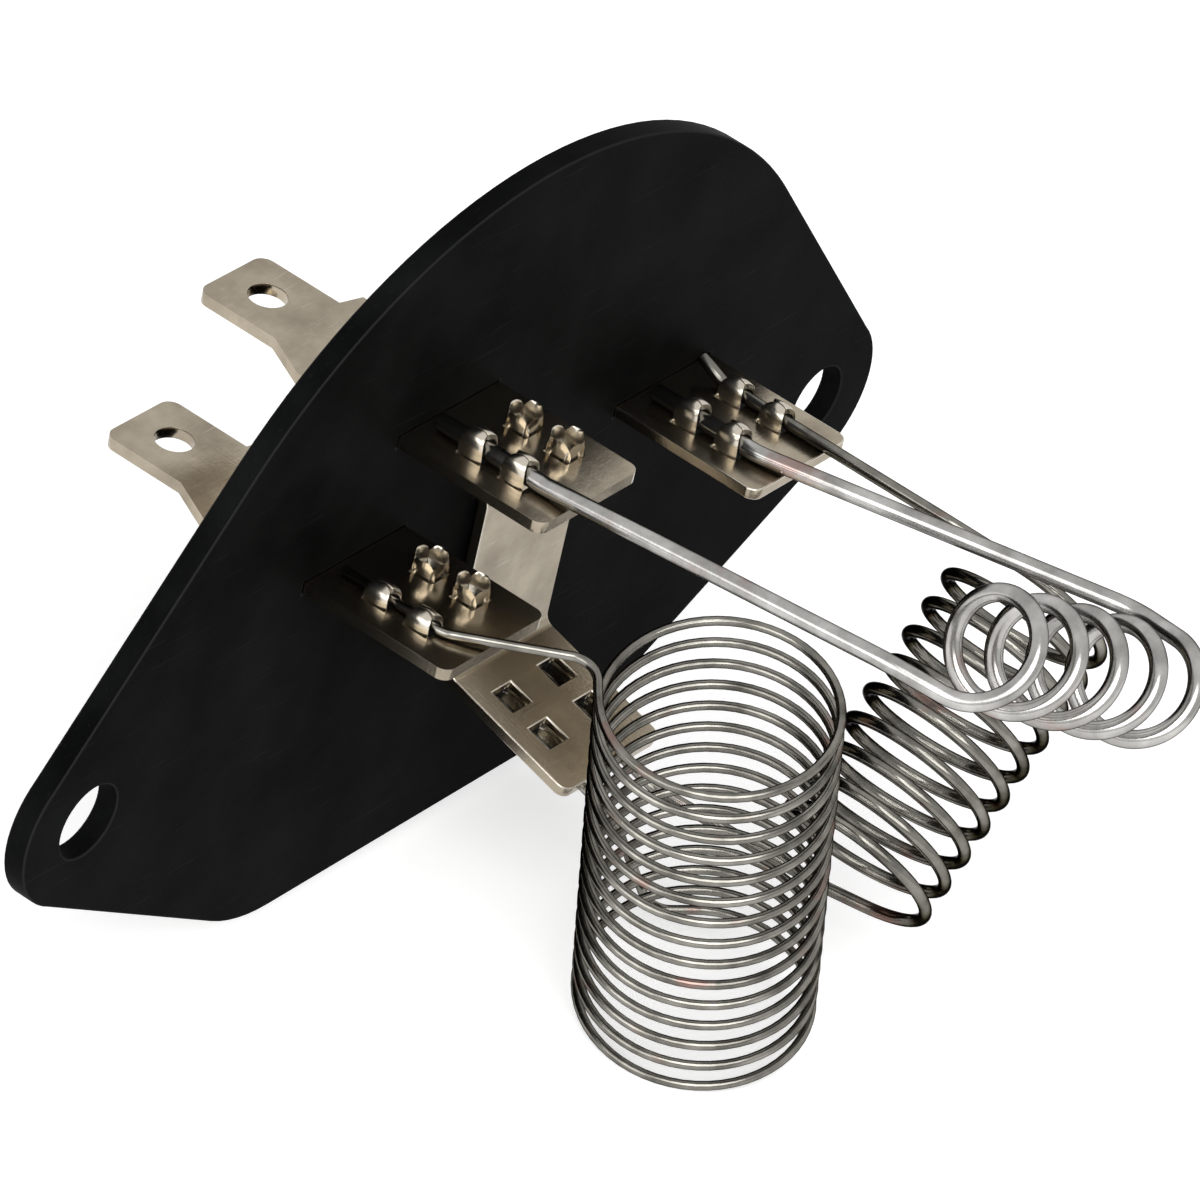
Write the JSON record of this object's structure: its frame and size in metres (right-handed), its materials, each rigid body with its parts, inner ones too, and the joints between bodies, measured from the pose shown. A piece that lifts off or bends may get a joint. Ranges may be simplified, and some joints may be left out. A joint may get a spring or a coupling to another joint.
{
  "type": "blower motor resistor",
  "caption": "Blower motor resistor: bare wire coils in series between push-on blade terminals on a black insulating plate with a screw ear at each end.",
  "frame": {"origin": "midway between the two screw holes, on the plate's front face, which seats on the duct", "axes": "+X along the line of the screw holes, +Z towards the plate's round edge, +Y out of the back along the blades; the coils stand out towards -Y"},
  "size_m": [0.0848, 0.0606, 0.0514],
  "materials": {
    "insulating_plate": "satin black laminate",
    "terminal_metal": "satin, tin plated",
    "resistance_wire": "drawn bright, slightly heat tinted"
  },
  "bodies": {
    "root": {"base_plate": "insulating_plate", "terminal_low": "terminal_metal", "terminal_motor": "terminal_metal", "terminal_medium_low": "terminal_metal", "terminal_medium_high": "terminal_metal", "coil_thin": "resistance_wire", "coil_medium": "resistance_wire", "coil_thick": "resistance_wire"}
  },
  "joints": []
}
